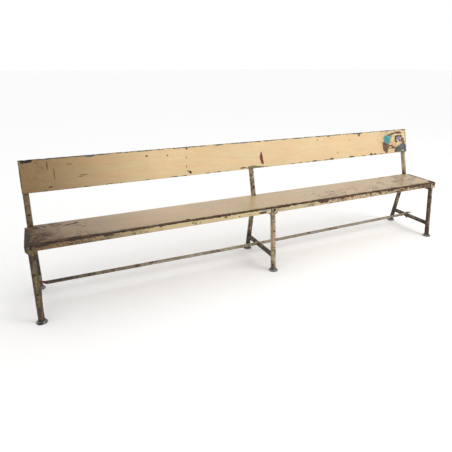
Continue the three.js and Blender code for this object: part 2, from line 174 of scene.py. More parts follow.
def attribute(piece, name, values):
    """Stores a number, or a colour, on each point of a piece for its material."""
    wide = np.ndim(values) > 1
    layer = piece.data.attributes.new(name, "FLOAT_COLOR" if wide else "FLOAT", "POINT")
    layer.data.foreach_set("color" if wide else "value", np.ravel(values).astype(np.float32))


def points_of(piece):
    """The places and the normals of a piece's points, in millimetres and as unit vectors."""
    count = len(piece.data.vertices)
    places, normals = np.empty(count * 3), np.empty(count * 3)
    piece.data.vertices.foreach_get("co", places)
    piece.data.vertices.foreach_get("normal", normals)
    return places.reshape(-1, 3) * 1000, normals.reshape(-1, 3)


def ramp(values, low, high):
    """0 at low, 1 at high and smooth between them."""
    t = np.clip((values - low) / (high - low), 0, 1)
    return t * t * (3 - 2 * t)


def wander(places, mm, seed):
    """Smooth noise from about 0 to 1 that changes every so many millimetres."""
    return np.array([0.5 + 0.7 * noise.noise((x / mm, y / mm + seed, z / mm)) for x, y, z in places])


def sweep(bm, radius, points, sides):
    """Extrudes a ring along a path and turns it square to the path at each point."""
    last = len(points) - 1
    ways = [(points[min(i + 1, last)] - points[max(i - 1, 0)]).normalized() for i in range(last + 1)]
    turn = ways[0].to_track_quat("Z", "X").to_matrix().to_4x4()
    ring = set(bmesh.ops.create_circle(
        bm, segments=sides, radius=radius, matrix=Matrix.Translation(points[0]) @ turn)["verts"])
    edges = [edge for edge in bm.edges if edge.verts[0] in ring]
    for i in range(1, len(points)):
        grown = bmesh.ops.extrude_edge_only(bm, edges=edges)["geom"]
        verts = [part for part in grown if isinstance(part, bmesh.types.BMVert)]
        edges = [part for part in grown if isinstance(part, bmesh.types.BMEdge)]
        bend_here = ways[i - 1].rotation_difference(ways[i]).to_matrix()
        bmesh.ops.rotate(bm, verts=verts, cent=points[i - 1], matrix=bend_here)
        bmesh.ops.translate(bm, verts=verts, vec=points[i] - points[i - 1])
    bmesh.ops.recalc_face_normals(bm, faces=bm.faces)


def straight(start, end, count):
    """So many points, evenly spaced from start to end."""
    return [start.lerp(end, i / (count - 1)) for i in range(count)]


def at_height(low, high, z):
    """The point of a line through two points that is at a height."""
    return low.lerp(high, (z - low.z) / (high.z - low.z))


def pipe_start(floor_point, upper_point):
    """Where a leaning pipe's square end clears the floor of its foot."""
    tilt = (upper_point - floor_point).angle(Vector((0, 0, 1)))
    return at_height(floor_point, upper_point, FOOT_FLOOR + PIPE_RADIUS * math.sin(tilt))


def shape_with(piece, tool_bm, operation):
    """Cuts a tool's shape out of a piece, or joins it on."""
    tool = as_piece("tool", tool_bm, piece.data.materials[0])
    cut = piece.modifiers.new("cut", "BOOLEAN")
    cut.operation = operation
    cut.solver = "EXACT"
    cut.object = tool
    bpy.context.view_layer.update()
    graph = bpy.context.evaluated_depsgraph_get()
    shaped = bpy.data.meshes.new_from_object(piece.evaluated_get(graph))
    shaped.name = piece.data.name
    piece.modifiers.clear()
    piece.data = shaped
    tool_mesh = tool.data
    bpy.data.objects.remove(tool)
    bpy.data.meshes.remove(tool_mesh)


def round_bar(bm, radius, start, end, sides):
    """A closed round bar between two points."""
    way = end - start
    turn = way.to_track_quat("Z", "X").to_matrix().to_4x4()
    bmesh.ops.create_cone(
        bm, cap_ends=True, segments=sides, radius1=radius, radius2=radius, depth=way.length,
        matrix=Matrix.Translation((start + end) / 2) @ turn)


def smooth(piece, angle=35):
    """Shades a piece smooth, but for edges sharper than so many degrees."""
    piece.data.shade_smooth()
    piece.data.set_sharp_from_angle(angle=math.radians(angle))


def finish_piece(piece, node):
    """Fixes a piece to the bench and hides the part of the model that it stands for."""
    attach(piece, "root")
    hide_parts(node)


def gloss_over(m, skin, rough, relief, depth):
    """Ends a paint's nodes: relief of so many metres, the paint's own gloss and the output."""
    bump = add(m, "Bump", {"Strength": 0.8, "Distance": depth, "Height": relief})[0]
    paint = add(m, "BsdfPrincipled", {
        "Base Color": skin, "Roughness": rough, "Normal": bump, "IOR": 1.5})[0]
    add(m, "OutputMaterial", {"Surface": paint})
    return m


def worn_metal_paint(name, coats, chipping):
    """Old gloss paint on steel. Flakes are 3 to 15 mm wide, and rust creeps out under their
    rims, so each bare spot has a brown stain around it. The paint itself has dulled."""
    clean, aged, rosy, left_end, dirt_and_shade, bare_light, bare_dark = [colour(code) for code in coats]
    m = new_material(name)
    place = add(m, "TexCoord")["Object"]
    along = add(m, "SeparateXYZ", {0: place})[0]
    bare, grime_and_shade = [add(m, "Attribute", attribute_name=tag)["Fac"] for tag in ("bare", "grime_and_shade")]
    layer = add(m, "Attribute", attribute_name="layer")["Color"]
    slow = add(m, "TexNoise", {"Vector": place, "Scale": every(75), "Detail": 5.0})
    fine = add(m, "TexNoise", {
        "Vector": place, "Scale": every(13), "Detail": 8.0, "Roughness": 0.66})[0]
    smear = add(m, "Mapping", {"Vector": place, "Scale": (1.0, 1.0, 0.22)})[0]
    smears = add(m, "TexNoise", {
        "Vector": smear, "Scale": every(15), "Detail": 7.0, "Roughness": 0.6})[0]
    flakes = add(m, "TexNoise", {
        "Vector": place, "Scale": every(19), "Detail": 9.0, "Roughness": 0.68, "Distortion": 0.6})[0]
    # Tone of the paint: patches of three ages of cream, browner and darker towards the bench's left
    # end, partly dirt and partly painted shade for the main light's falloff. A noise's grey and its
    # green channel vary apart, so each noise gives two patterns.
    aging = add(m, "MapRange", {0: slow[0], 1: 0.40, 2: 0.60})[0]
    green = add(m, "SeparateColor", {0: slow[1]})[1]
    blush = add(m, "MapRange", {0: green, 1: 0.48, 2: 0.60})[0]
    left = add(m, "MapRange", {0: along, 1: -0.75, 2: -1.4, 4: 0.85})[0]
    tone = clean
    for share, other in ((aging, aged), (blush, rosy), (left, left_end)):
        tone = add(m, "Mix", {0: share, 6: tone, 7: other}, data_type="RGBA")[2]
    # Dirt sits where it was tagged, in smears that run down the pipe and fine specks. The same tag
    # paints shade on some flanks and undersides, in the dirt's colour.
    runs = add(m, "MapRange", {0: smears, 1: 0.36, 2: 0.66, 3: 0.15, 4: 1.7})[0]
    specks = add(m, "MapRange", {0: fine, 1: 0.3, 2: 0.7, 3: 0.6, 4: 1.4})[0]
    soil_and_shade = add(m, "Math", {0: grime_and_shade, 1: runs}, operation="MULTIPLY")[0]
    soil_and_shade = add(m, "Math", {0: soil_and_shade, 1: specks}, operation="MULTIPLY", use_clamp=True)[0]
    tone = add(m, "Mix", {0: soil_and_shade, 6: tone, 7: dirt_and_shade}, data_type="RGBA")[2]
    # Flakes: the tagged wear and the noise together decide where the paint has gone.
    loss = add(m, "Math", {0: bare, 1: 0.30, 2: flakes}, operation="MULTIPLY_ADD")[0]
    stain = add(m, "MapRange", {0: loss, 1: 0.90 - chipping, 2: 1.0 - chipping, 4: 0.75})[0]
    chip = add(m, "MapRange", {0: loss, 1: 0.99 - chipping, 2: 1.005 - chipping})[0]
    bare_mix = add(m, "MapRange", {0: fine, 1: 0.4, 2: 0.6})[0]
    steel = add(m, "Mix", {0: bare_mix, 6: bare_dark, 7: bare_light}, data_type="RGBA")[2]
    steel = add(m, "Mix", {
        "Factor": 1.0, 6: steel, 7: layer}, data_type="RGBA", blend_type="MULTIPLY")[2]
    tone = add(m, "Mix", {0: stain, 6: tone, 7: colour("5e442b")}, data_type="RGBA")[2]
    skin = add(m, "Mix", {0: chip, 6: tone, 7: steel}, data_type="RGBA")[2]
    rough = add(m, "MapRange", {0: fine, 1: 0.3, 2: 0.7, 3: 0.36, 4: 0.6})[0]
    rough = add(m, "Mix", {0: chip, 2: rough, 3: 0.8})[0]
    relief = add(m, "Math", {0: fine, 1: 0.5, 2: 0.6}, operation="MULTIPLY_ADD")[0]
    relief = add(m, "Math", {0: relief, 1: chip}, operation="SUBTRACT")[0]
    return gloss_over(m, skin, rough, relief, 0.45 * MM)


def tag_wear(piece, bare, grime_and_shade, tint=(1, 1, 1, 1)):
    """Tags how worn each point is, how dirty, and how much shade is painted on it, and tints what shows
    where paint has gone.
    """
    count = len(piece.data.vertices)
    attribute(piece, "bare", np.zeros(count) + bare)
    attribute(piece, "grime_and_shade", np.zeros(count) + grime_and_shade)
    attribute(piece, "layer", np.zeros((count, 4)) + tint)


def close_to(places, x=None, y=None, z=None, reach=20):
    """1 at a place, in millimetres, falling to 0 at its reach; an axis left out isn't used."""
    square = sum((places[:, i] - at) ** 2 for i, at in enumerate((x, y, z)) if at is not None)
    return 1 - ramp(np.sqrt(square), 0, reach)


def steel_pipe(name, side, path, holes):
    """One frame's painted pipe along a path, drilled through its front wall at points on its
    axis. Gives the pipe, its points, and how bare they are round the holes."""
    shift = Vector((frame_x[side], 0, 0))
    bm = bmesh.new()
    sweep(bm, PIPE_RADIUS, [point + shift for point in path], PIPE_SIDES)
    bmesh.ops.solidify(bm, geom=bm.faces[:], thickness=PIPE_WALL)
    pipe = as_piece(name, bm, cream_pipe_paint)
    for hole in holes:
        drill = bmesh.new()
        outside = hole + shift + Vector((0, -2 * PIPE_RADIUS, 0))
        round_bar(drill, SPARE_HOLE_RADIUS, outside, hole + shift, SPARE_HOLE_SIDES)
        shape_with(pipe, drill, "DIFFERENCE")
    smooth(pipe)
    places, normals = points_of(pipe)
    near = sum(close_to(places, x=shift.x * 1000, z=hole.z * 1000, reach=SPARE_HOLE_WEAR)
               for hole in holes)
    return pipe, places, normals, 0.8 * near * (normals[:, 1] < -0.5)


cream_pipe_paint = worn_metal_paint(
    "cream_brush_paint_on_steel_pipe",
    ("bcad88", "92855f", "b39678", "66531f", "291f13", "4c3522", "1a1512"), 0.36)

leg_path = straight(pipe_start(front_floor, leg_top), leg_top, LEG_RINGS)
leg_holes = [at_height(front_floor, leg_top, z) for z in LEG_HOLE_HEIGHTS]
for side in SIDES:
    leg, places, normals, rims = steel_pipe(f"front_leg_pipe_{side}", side, leg_path, leg_holes)
    height, turned_right = places[:, 2], normals[:, 0]
    left_flank = ramp(-turned_right, 0.0, 0.85)
    # Paint goes at the foot and round the holes. Dirt gathers near the foot, and the pipe is darker
    # just under the seat.
    bare = 0.30 * wander(places, 60, 3) + 0.3 * ramp(height, 60, 20) + rims
    grime_and_shade = 0.16 + 0.4 * ramp(height, 110, 20) + 0.3 * ramp(height, 330, 412)
    grime_and_shade = grime_and_shade + 0.25 * wander(places, 45, 41)
    # The left leg is the dirtiest, most of all near the foot. Both its flanks are painted dark as
    # shade, and chipped, and a scraped ring is bare high up.
    if side == "left":
        grime_and_shade = grime_and_shade + 0.15 + 0.9 * left_flank + 0.55 * ramp(turned_right, 0.35, 0.9)
        grime_and_shade = grime_and_shade + 0.5 * ramp(height, 110, 50)
        bare = bare + 0.35 * left_flank + 0.3 * ramp(turned_right, 0.5, 1)
        bare = bare + 0.5 * close_to(places, z=372, reach=34)
    # The middle leg is the cleanest, but its right flank, and a little its left, is painted darker
    # as shade, with chips on the right flank. It is knocked bare beside the brace.
    if side == "middle":
        grime_and_shade = grime_and_shade - 0.22 + 0.45 * ramp(turned_right, 0.5, 0.95) + 0.2 * left_flank
        bare = bare + 0.5 * ramp(turned_right, 0.5, 1)
        bare = bare + 1.2 * close_to(places, x=frame_x[side] * 1000 + 14, z=137, reach=18)
    # The right leg is painted dark on its left flank as shade, where it is also chipped, and is
    # darker low down. Its right flank is painted lighter, a painted highlight.
    if side == "right":
        grime_and_shade = grime_and_shade + 0.2 + 0.9 * left_flank + 0.4 * ramp(height, 260, 120)
        grime_and_shade = grime_and_shade - 0.3 * ramp(turned_right, 0.4, 0.9)
        bare = bare + 0.35 * left_flank
    tag_wear(leg, bare, grime_and_shade)
    finish_piece(leg, f"front_leg_{side}")


# --------------------
# Rear pipes: the rear leg and the upright are one length of the same pipe, bent at the seat
# in a long easy curve. A spare hole faces forwards above the seat.
BEND_RADIUS = 150 * MM
BEND_INSET = 4 * MM
BEND_STEPS = 10
REAR_RINGS = 46
UPRIGHT_HOLE_ABOVE_SEAT = 62 * MM
up_the_back = Vector((0, math.sin(LEAN), math.cos(LEAN)))
bend = Vector((0, seat_high.y - BEND_INSET, (seat_low.z + seat_high.z) / 2))
pipe_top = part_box("rear_pipe_middle")[1].z


def up_the_upright(z):
    """The point of an upright's axis that is at a height."""
    return bend + up_the_back * ((z - bend.z) / up_the_back.z)


rear_start = pipe_start(rear_floor, bend)
down = (rear_start - bend).normalized()
tangent = BEND_RADIUS * math.tan(up_the_back.angle(-down) / 2)
bend_start, bend_end = bend + down * tangent, bend + up_the_back * tangent
turns = [i / BEND_STEPS for i in range(BEND_STEPS + 1)]
bend_curve = [bend_start.lerp(bend, t).lerp(bend.lerp(bend_end, t), t) for t in turns]
upright_top = up_the_upright(pipe_top - PIPE_RADIUS * math.sin(LEAN))
rear_path = straight(rear_start, bend_start, REAR_RINGS)[:-1] + bend_curve
rear_path += straight(bend_end, upright_top, REAR_RINGS)[1:]

upright_hole = up_the_upright(seat_high.z + UPRIGHT_HOLE_ABOVE_SEAT)
for side in SIDES:
    pipe, places, normals, rims = steel_pipe(
        f"rear_pipe_and_upright_{side}", side, rear_path, [upright_hole])
    height = places[:, 2]
    # Dirt is heaviest near the foot and where the seat meets the pipe.
    bare = 0.32 * wander(places, 70, 8) + 0.35 * ramp(height, 130, 40) + rims
    grime_and_shade = 0.18 + 0.25 * wander(places, 50, 42) + 1.8 * ramp(height, 200, 110)
    grime_and_shade = grime_and_shade + 0.45 * close_to(places, z=445, reach=60)
    # Below the seat the pipes are darker, most of all the left one.
    below_seat = 1 - ramp(height, 405, 445)
    grime_and_shade = grime_and_shade + below_seat * {"left": 1.0, "middle": 0.3, "right": 0.6}[side]
    # The left pipe's left flank is painted dark as shade, and chipped.
    if side == "left":
        left_flank = ramp(-normals[:, 0], 0.3, 0.9)
        grime_and_shade = grime_and_shade + 0.6 * left_flank
        bare = bare + 0.3 * left_flank
    # The middle upright is cleaner under the board, but flecked with small chips.
    if side == "middle":
        bare = bare + 0.16 * ramp(height, 480, 560) * ramp(wander(places, 16, 43), 0.4, 0.7)
        grime_and_shade = grime_and_shade - 0.12 * ramp(height, 540, 600)
    tag_wear(pipe, bare, grime_and_shade)
    finish_piece(pipe, f"rear_pipe_{side}")


# --------------------
# Feet: flared round shoes of forged steel, driven on to the pipe ends. Most paint has worn
# off them, so they are dark bare steel, flecked with lighter metal and brown oxide.
def worn_steel(name, dark, light, rust, rust_share):
    """Bare steel left outdoors: dull grey metal where it is rubbed, brown oxide elsewhere."""
    m = new_material(name)
    place = add(m, "TexCoord")["Object"]
    pits = add(m, "TexNoise", {
        "Vector": place, "Scale": every(9), "Detail": 8.0, "Roughness": 0.7})[0]
    patches = add(m, "TexNoise", {"Vector": place, "Scale": every(30), "Detail": 5.0})[0]
    metal_mix = add(m, "MapRange", {0: pits, 1: 0.35, 2: 0.65})[0]
    metal, rusted = [
        add(m, "Mix", {0: metal_mix, 6: colour(deep), 7: colour(pale)}, data_type="RGBA")[2]
        for deep, pale in ((dark, light), ("2a1c14", rust))]
    oxide = add(m, "MapRange", {
        0: patches, 1: 0.62 - rust_share * 0.3, 2: 0.70 - rust_share * 0.3})[0]
    skin = add(m, "Mix", {0: oxide, 6: metal, 7: rusted}, data_type="RGBA")[2]
    shine = add(m, "MapRange", {0: oxide, 3: 0.85, 4: 0.0})[0]
    rough = add(m, "MapRange", {0: oxide, 3: 0.42, 4: 0.85})[0]
    bump = add(m, "Bump", {"Strength": 0.6, "Distance": 0.5 * MM, "Height": pits})[0]
    steel = add(m, "BsdfPrincipled", {
        "Base Color": skin, "Metallic": shine, "Roughness": rough, "Normal": bump})[0]
    add(m, "OutputMaterial", {"Surface": steel})
    return m


forged_foot_steel = worn_steel("worn_forged_steel", "3a3938", "94938f", "3b2c22", 0.25)
SHOE_SIDES = 56
DENT_DEPTH = 0.6 * MM
DENTS_PER_METRE = 90
# Radius and height of the shoe's outline, in millimetres, from the sole's middle upwards.
SHOE = ((0, 0), (28.8, 0), (29.8, 0.9), (30, 2.4), (29.4, 3.9), (27.2, 5.2), (24.9, 7), (23.2, 9.4),
        (22.3, 12), (21.9, 14), (21.2, 14.8), (20.2, 15), (0, 15))

for end in ("front", "rear"):
    for side in SIDES:
        centre = Vector((frame_x[side], foot_y[end], 0))
        bm = bmesh.new()
        outline = [bm.verts.new(centre + Vector((r * MM, 0, z * MM))) for r, z in SHOE]
        for a, b in zip(outline, outline[1:]):
            bm.edges.new((a, b))
        bmesh.ops.spin(bm, geom=bm.verts[:] + bm.edges[:], cent=centre, axis=(0, 0, 1),
                       angle=2 * math.pi, steps=SHOE_SIDES, use_merge=True, use_duplicate=False)
        bmesh.ops.remove_doubles(bm, verts=bm.verts, dist=0.001 * MM)
        bmesh.ops.recalc_face_normals(bm, faces=bm.faces)
        for vert in bm.verts:
            if vert.co.z > 1 * MM:
                dent = noise.noise(vert.co * DENTS_PER_METRE) * DENT_DEPTH
                out = (vert.co - centre).to_2d().normalized()
                vert.co += out.to_3d() * min(dent, 0)
        foot = as_piece(f"{end}_shoe_{side}", bm, forged_foot_steel)
        smooth(foot, 50)
        finish_piece(foot, f"{end}_foot_{side}")


# --------------------
# Braces: pipe a little thinner than the legs', welded between each front leg and rear pipe
# near the floor. Their cream paint is nearly gone under grime, and their undersides are painted
# near black, painted shade over the grime.
brace_low, brace_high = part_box("brace_middle")
BRACE_RADIUS = (brace_high.x - brace_low.x) / 2
BRACE_Z = (brace_low.z + brace_high.z) / 2
BRACE_RINGS, BRACE_SIDES = 40, 32
BEAD_RADIUS = 2.4 * MM
BEAD_STEPS, BEAD_SIDES = 28, 8
LUMP_HEIGHT = 1.2 * MM
LUMPS_PER_METRE = 260
brace_front = at_height(front_floor, leg_top, BRACE_Z)
brace_rear = at_height(rear_floor, bend, BRACE_Z)


def weld_bead(bm, hub, toward):
    """Lays a lumpy bead round the brace's end, where it meets the pipe whose axis is at hub."""
    path = []
    for i in range(BEAD_STEPS + 1):
        turn = 2 * math.pi * i / BEAD_STEPS
        x, z = BRACE_RADIUS * math.cos(turn), BRACE_RADIUS * math.sin(turn)
        path.append(hub + Vector((x, toward * math.sqrt(max(PIPE_RADIUS ** 2 - x ** 2, 0)), z)))
    before = len(bm.verts)
    sweep(bm, BEAD_RADIUS, path, BEAD_SIDES)
    bm.verts.ensure_lookup_table()
    for vert in bm.verts[before:]:
        vert.co += vert.normal * noise.noise(vert.co * LUMPS_PER_METRE) * LUMP_HEIGHT


# The near black dirt colour also paints the shade on the braces' undersides.
dark_brace_paint = worn_metal_paint(
    "grimy_paint_and_painted_shade_on_steel_brace",
    ("7d7861", "5b5845", "6f5f4d", "53492f", "14110d", "3c2b1d", "110e0c"), 0.40)

for side in SIDES:
    shift = Vector((frame_x[side], 0, 0))
    bm = bmesh.new()
    sweep(bm, BRACE_RADIUS, straight(brace_front + shift, brace_rear + shift, BRACE_RINGS), BRACE_SIDES)
    weld_bead(bm, brace_front + shift, 1)
    weld_bead(bm, brace_rear + shift, -1)
    bmesh.ops.holes_fill(bm, edges=bm.edges, sides=0)
    brace = as_piece(f"brace_pipe_{side}", bm, dark_brace_paint)
    smooth(brace, 50)
    places, normals = points_of(brace)
    # The underside is tagged dark: painted shade over the grime. The welds are worn and dirty.
    under = ramp(-normals[:, 2], -0.45, 0.2)
    weld = close_to(places, y=brace_front.y * 1000 + 17, reach=14)
    weld = weld + close_to(places, y=brace_rear.y * 1000 - 17, reach=14)
    tag_wear(brace, 0.35 * wander(places, 50, 5) + 0.5 * weld, 0.25 + 1.7 * under + 0.3 * weld)
    finish_piece(brace, f"brace_{side}")


# --------------------
# Bearers: a steel angle under the seat at each frame, welded between the front leg and the
# rear pipe. The plank is screwed down to it from below.
BEARER_WALL = 4 * MM
BEARER_ROUNDING = 0.9 * MM
BEARER_CUTS = 24
X, Y = 0, 1


def edges_along(bm, axis, at_least=0.0, at_most=math.inf):
    """The edges that go between two distances along an axis."""
    return [edge for edge in bm.edges
            if at_least < abs(edge.verts[0].co[axis] - edge.verts[1].co[axis]) < at_most]


def round_off(bm, edges, size, segments):
    """Bevels edges to a round of a size, in so many segments."""
    bmesh.ops.bevel(bm, geom=edges, offset=size, offset_type="OFFSET", affect="EDGES",
                    segments=segments, profile=0.5, material=-1)


for side in SIDES:
    low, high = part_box(f"seat_bearer_{side}")
    web_x, flange_z = low.x + BEARER_WALL, high.z - BEARER_WALL
    section = ((low.x, low.z), (web_x, low.z), (web_x, flange_z), (high.x, flange_z),
               (high.x, high.z), (low.x, high.z))
    start_y, end_y = leg_top.y + PIPE_WALL, bend.y - PIPE_WALL
    bm = bmesh.new()
    profile = bm.faces.new([bm.verts.new((x, start_y, z)) for x, z in section])
    grown = bmesh.ops.extrude_face_region(bm, geom=[profile])["geom"]
    far_end = [part for part in grown if isinstance(part, bmesh.types.BMVert)]
    bmesh.ops.translate(bm, vec=(0, end_y - start_y, 0), verts=far_end)
    bmesh.ops.recalc_face_normals(bm, faces=bm.faces)
    round_off(bm, edges_along(bm, Y, 100 * MM), BEARER_ROUNDING, 2)
    bmesh.ops.subdivide_edges(
        bm, edges=edges_along(bm, Y, 100 * MM), cuts=BEARER_CUTS, use_grid_fill=True)
    bearer = as_piece(f"seat_angle_{side}", bm, dark_brace_paint)
    smooth(bearer)
    places, normals = points_of(bearer)
    tag_wear(bearer, 0.3 * wander(places, 40, 2), 0.35)
    finish_piece(bearer, f"seat_bearer_{side}")


# --------------------
# Tabs: a flat steel plate welded to the top of each front leg. It laps over the front edge
# of the plank, and a bolt through it holds the plank.
TAB_CORNER = 6 * MM
TAB_RIM = 0.7 * MM
TAB_ROWS, TAB_COLUMNS = 10, 8


def block(bm, centre, size):
    """Adds a box."""
    corners = bmesh.ops.create_cube(bm, size=1)["verts"]
    bmesh.ops.scale(bm, vec=size, verts=corners)
    bmesh.ops.translate(bm, vec=centre, verts=corners)


def slice_at(bm, way, levels):
    """Cuts new edges round a solid at levels along a way, so that wear can be tagged there."""
    for level in levels:
        bmesh.ops.bisect_plane(bm, geom=bm.verts[:] + bm.edges[:] + bm.faces[:],
                               plane_co=Vector(way) * level, plane_no=way)


for side in SIDES:
    low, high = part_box(f"leg_tab_{side}")
    size = high - low
    bm = bmesh.new()
    block(bm, (low + high) / 2, size)
    round_off(bm, edges_along(bm, Y, 1 * MM), TAB_CORNER, 5)
    round_off(bm, edges_along(bm, Y, -1, 0.1 * MM), TAB_RIM, 2)
    slice_at(bm, (0, 0, 1), [low.z + size.z * i / TAB_ROWS for i in range(1, TAB_ROWS)])
    slice_at(bm, (1, 0, 0), [low.x + size.x * i / TAB_COLUMNS for i in range(1, TAB_COLUMNS)])
    tab = as_piece(f"seat_tab_{side}", bm, cream_pipe_paint)
    smooth(tab)
    places, normals = points_of(tab)
    from_middle = np.abs(places[:, 0] - frame_x[side] * 1000)
    rim = np.maximum(ramp(from_middle, 17, 23), ramp(places[:, 2], 438, 445))
    bolt_stain = close_to(places, x=frame_x[side] * 1000, z=433, reach=16)
    grime_and_shade = 0.12 + 0.3 * bolt_stain + 0.25 * rim
    bare = 0.3 * wander(places, 25, 4) + 0.42 * rim + 0.3 * bolt_stain
    tag_wear(tab, bare, grime_and_shade + (0.45 if side == "left" else 0))
    finish_piece(tab, f"leg_tab_{side}")


# --------------------
# Stretchers: two 1/2 inch pipes along the bench, welded to the middle brace. They rise a little
# to the end frames, where each is flattened and bolted on top of the brace.
rod_y = sum(corner.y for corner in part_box("stretcher_bolt_left")) / 2
tongue_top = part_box("stretcher_left")[1].z
ROD_RADIUS = 10.65 * MM
ROD_SIDES = 28
ROD_RINGS = 120
TONGUE_HALF = 14 * MM
TONGUE_THICKNESS = 4 * MM
TONGUE_INNER = 17 * MM
TONGUE_LENGTH = 52 * MM
TONGUE_RINGS = 8
TIP_ROUNDING = (0.78, 0.92)
STRETCHER_RISE = 10 * MM

rod_paint = worn_metal_paint(
    "dull_paint_on_steel_stretcher",
    ("b3aa8f", "968a6c", "a3958a", "55462f", "31271c", "5c4029", "241a14"), 0.35)

for side in ("left", "right"):
    inward = 1 if side == "left" else -1
    home = frame_x[side]
    axis = Vector((home, rod_y, BRACE_Z))
    low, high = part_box(f"stretcher_{side}")
    tip = -abs((low.x if side == "left" else high.x) - home)
    # The rings' distances from the end frame, inwards: the flat tongue, where it closes up to
    # the round pipe, and the pipe as far as the middle brace.
    rod_start, rod_end = TONGUE_LENGTH, abs(home) - BRACE_RADIUS * 0.6
    steps = [tip, tip + 1.5 * MM, tip + 5 * MM, -5 * MM, 5 * MM, TONGUE_INNER]
    for low_step, high_step, count in (
            (TONGUE_INNER, rod_start, TONGUE_RINGS), (rod_start, rod_end, ROD_RINGS)):
        steps += [low_step + (high_step - low_step) * i / count for i in range(1, count + 1)]
    bm = bmesh.new()
    turn = Matrix.Rotation(math.radians(90), 4, "Y")
    start = Matrix.Translation(axis + Vector((tip * inward, 0, 0)))
    ring = bmesh.ops.create_circle(bm, segments=ROD_SIDES, radius=ROD_RADIUS, matrix=start @ turn)
    rings = [ring["verts"]]
    edges = bm.edges[:]
    for before, after in zip(steps, steps[1:]):
        grown = bmesh.ops.extrude_edge_only(bm, edges=edges)["geom"]
        rings.append([part for part in grown if isinstance(part, bmesh.types.BMVert)])
        edges = [part for part in grown if isinstance(part, bmesh.types.BMEdge)]
        bmesh.ops.translate(bm, verts=rings[-1], vec=((after - before) * inward, 0, 0))
    flat_z = tongue_top - TONGUE_THICKNESS / 2
    for i, (step, verts) in enumerate(zip(steps, rings)):
        flat = 1 - float(ramp(step, TONGUE_INNER, rod_start - 4 * MM))
        narrowed = TIP_ROUNDING[i] if i < len(TIP_ROUNDING) else 1.0
        round_z = BRACE_Z + STRETCHER_RISE * (rod_end - max(step, rod_start)) / (rod_end - rod_start)
        for vert in verts:
            side_way, rise = vert.co.y - rod_y, vert.co.z - BRACE_Z
            widened = side_way * (1 + flat * (TONGUE_HALF / ROD_RADIUS - 1)) * narrowed
            pressed = max(-TONGUE_THICKNESS / 2, min(TONGUE_THICKNESS / 2, rise))
            vert.co.y = rod_y + widened
            vert.co.z = round_z + flat * (flat_z - round_z) + flat * pressed + (1 - flat) * rise
    bmesh.ops.holes_fill(bm, edges=bm.edges, sides=0)
    bmesh.ops.recalc_face_normals(bm, faces=bm.faces)
    rod = as_piece(f"stretcher_pipe_{side}", bm, rod_paint)
    smooth(rod)
    places, normals = points_of(rod)
    bare = 0.35 * wander(places, 60, 6)
    # Grime is patchy, and the underside is tagged darker as painted shade.
    grime_and_shade = 0.12 + 0.3 * wander(places, 120, 9) + 0.5 * ramp(-normals[:, 2], -0.1, 0.7)
    tint = np.ones((len(places), 4))
    if side == "left":
        # Its joint at the end frame is bright with fresh rust.
        grime_and_shade = grime_and_shade + 0.9 * ramp(places[:, 0], -1000, -1350)
        bare = bare + 0.6 * close_to(places, x=-870, reach=34)
        bare = bare + 1.6 * close_to(places, x=-1425, reach=42)
        tint = tint + np.outer(close_to(places, x=-1425, reach=50), (1.1, 0.55, 0.15, 0))
    tag_wear(rod, bare, grime_and_shade, tint)
    finish_piece(rod, f"stretcher_{side}")


# --------------------
# Seat plank: one thick softwood plank in gloss paint. The front top edge has worn through to
# dark wood along its whole length, and the ends are bare where people slid off them.
SLOT_GAP = 0.3 * MM
SLOT_OVERCUT = 5 * MM
SEAT_ROUNDING = 5 * MM
SEAT_END_ROUNDING = 2 * MM
SEAT_STEP = 5 * MM


def dense_plank(size, rounding, end_rounding, step, across_cuts, through_cuts):
    """A rounded plank with its low corner at the origin, in a fine grid that can be worn."""
    bm = bmesh.new()
    block(bm, Vector(size) / 2, size)
    round_off(bm, edges_along(bm, X, 1), rounding, 4)
    round_off(bm, edges_along(bm, X, -1, 1 * MM), end_rounding, 2)
    slice_at(bm, (0, 1, 0), across_cuts)
    slice_at(bm, (0, 0, 1), through_cuts)
    bmesh.ops.subdivide_edges(
        bm, edges=edges_along(bm, X, 1), cuts=round(size[0] / step), use_grid_fill=True)
    bmesh.ops.recalc_face_normals(bm, faces=bm.faces)
    return bm


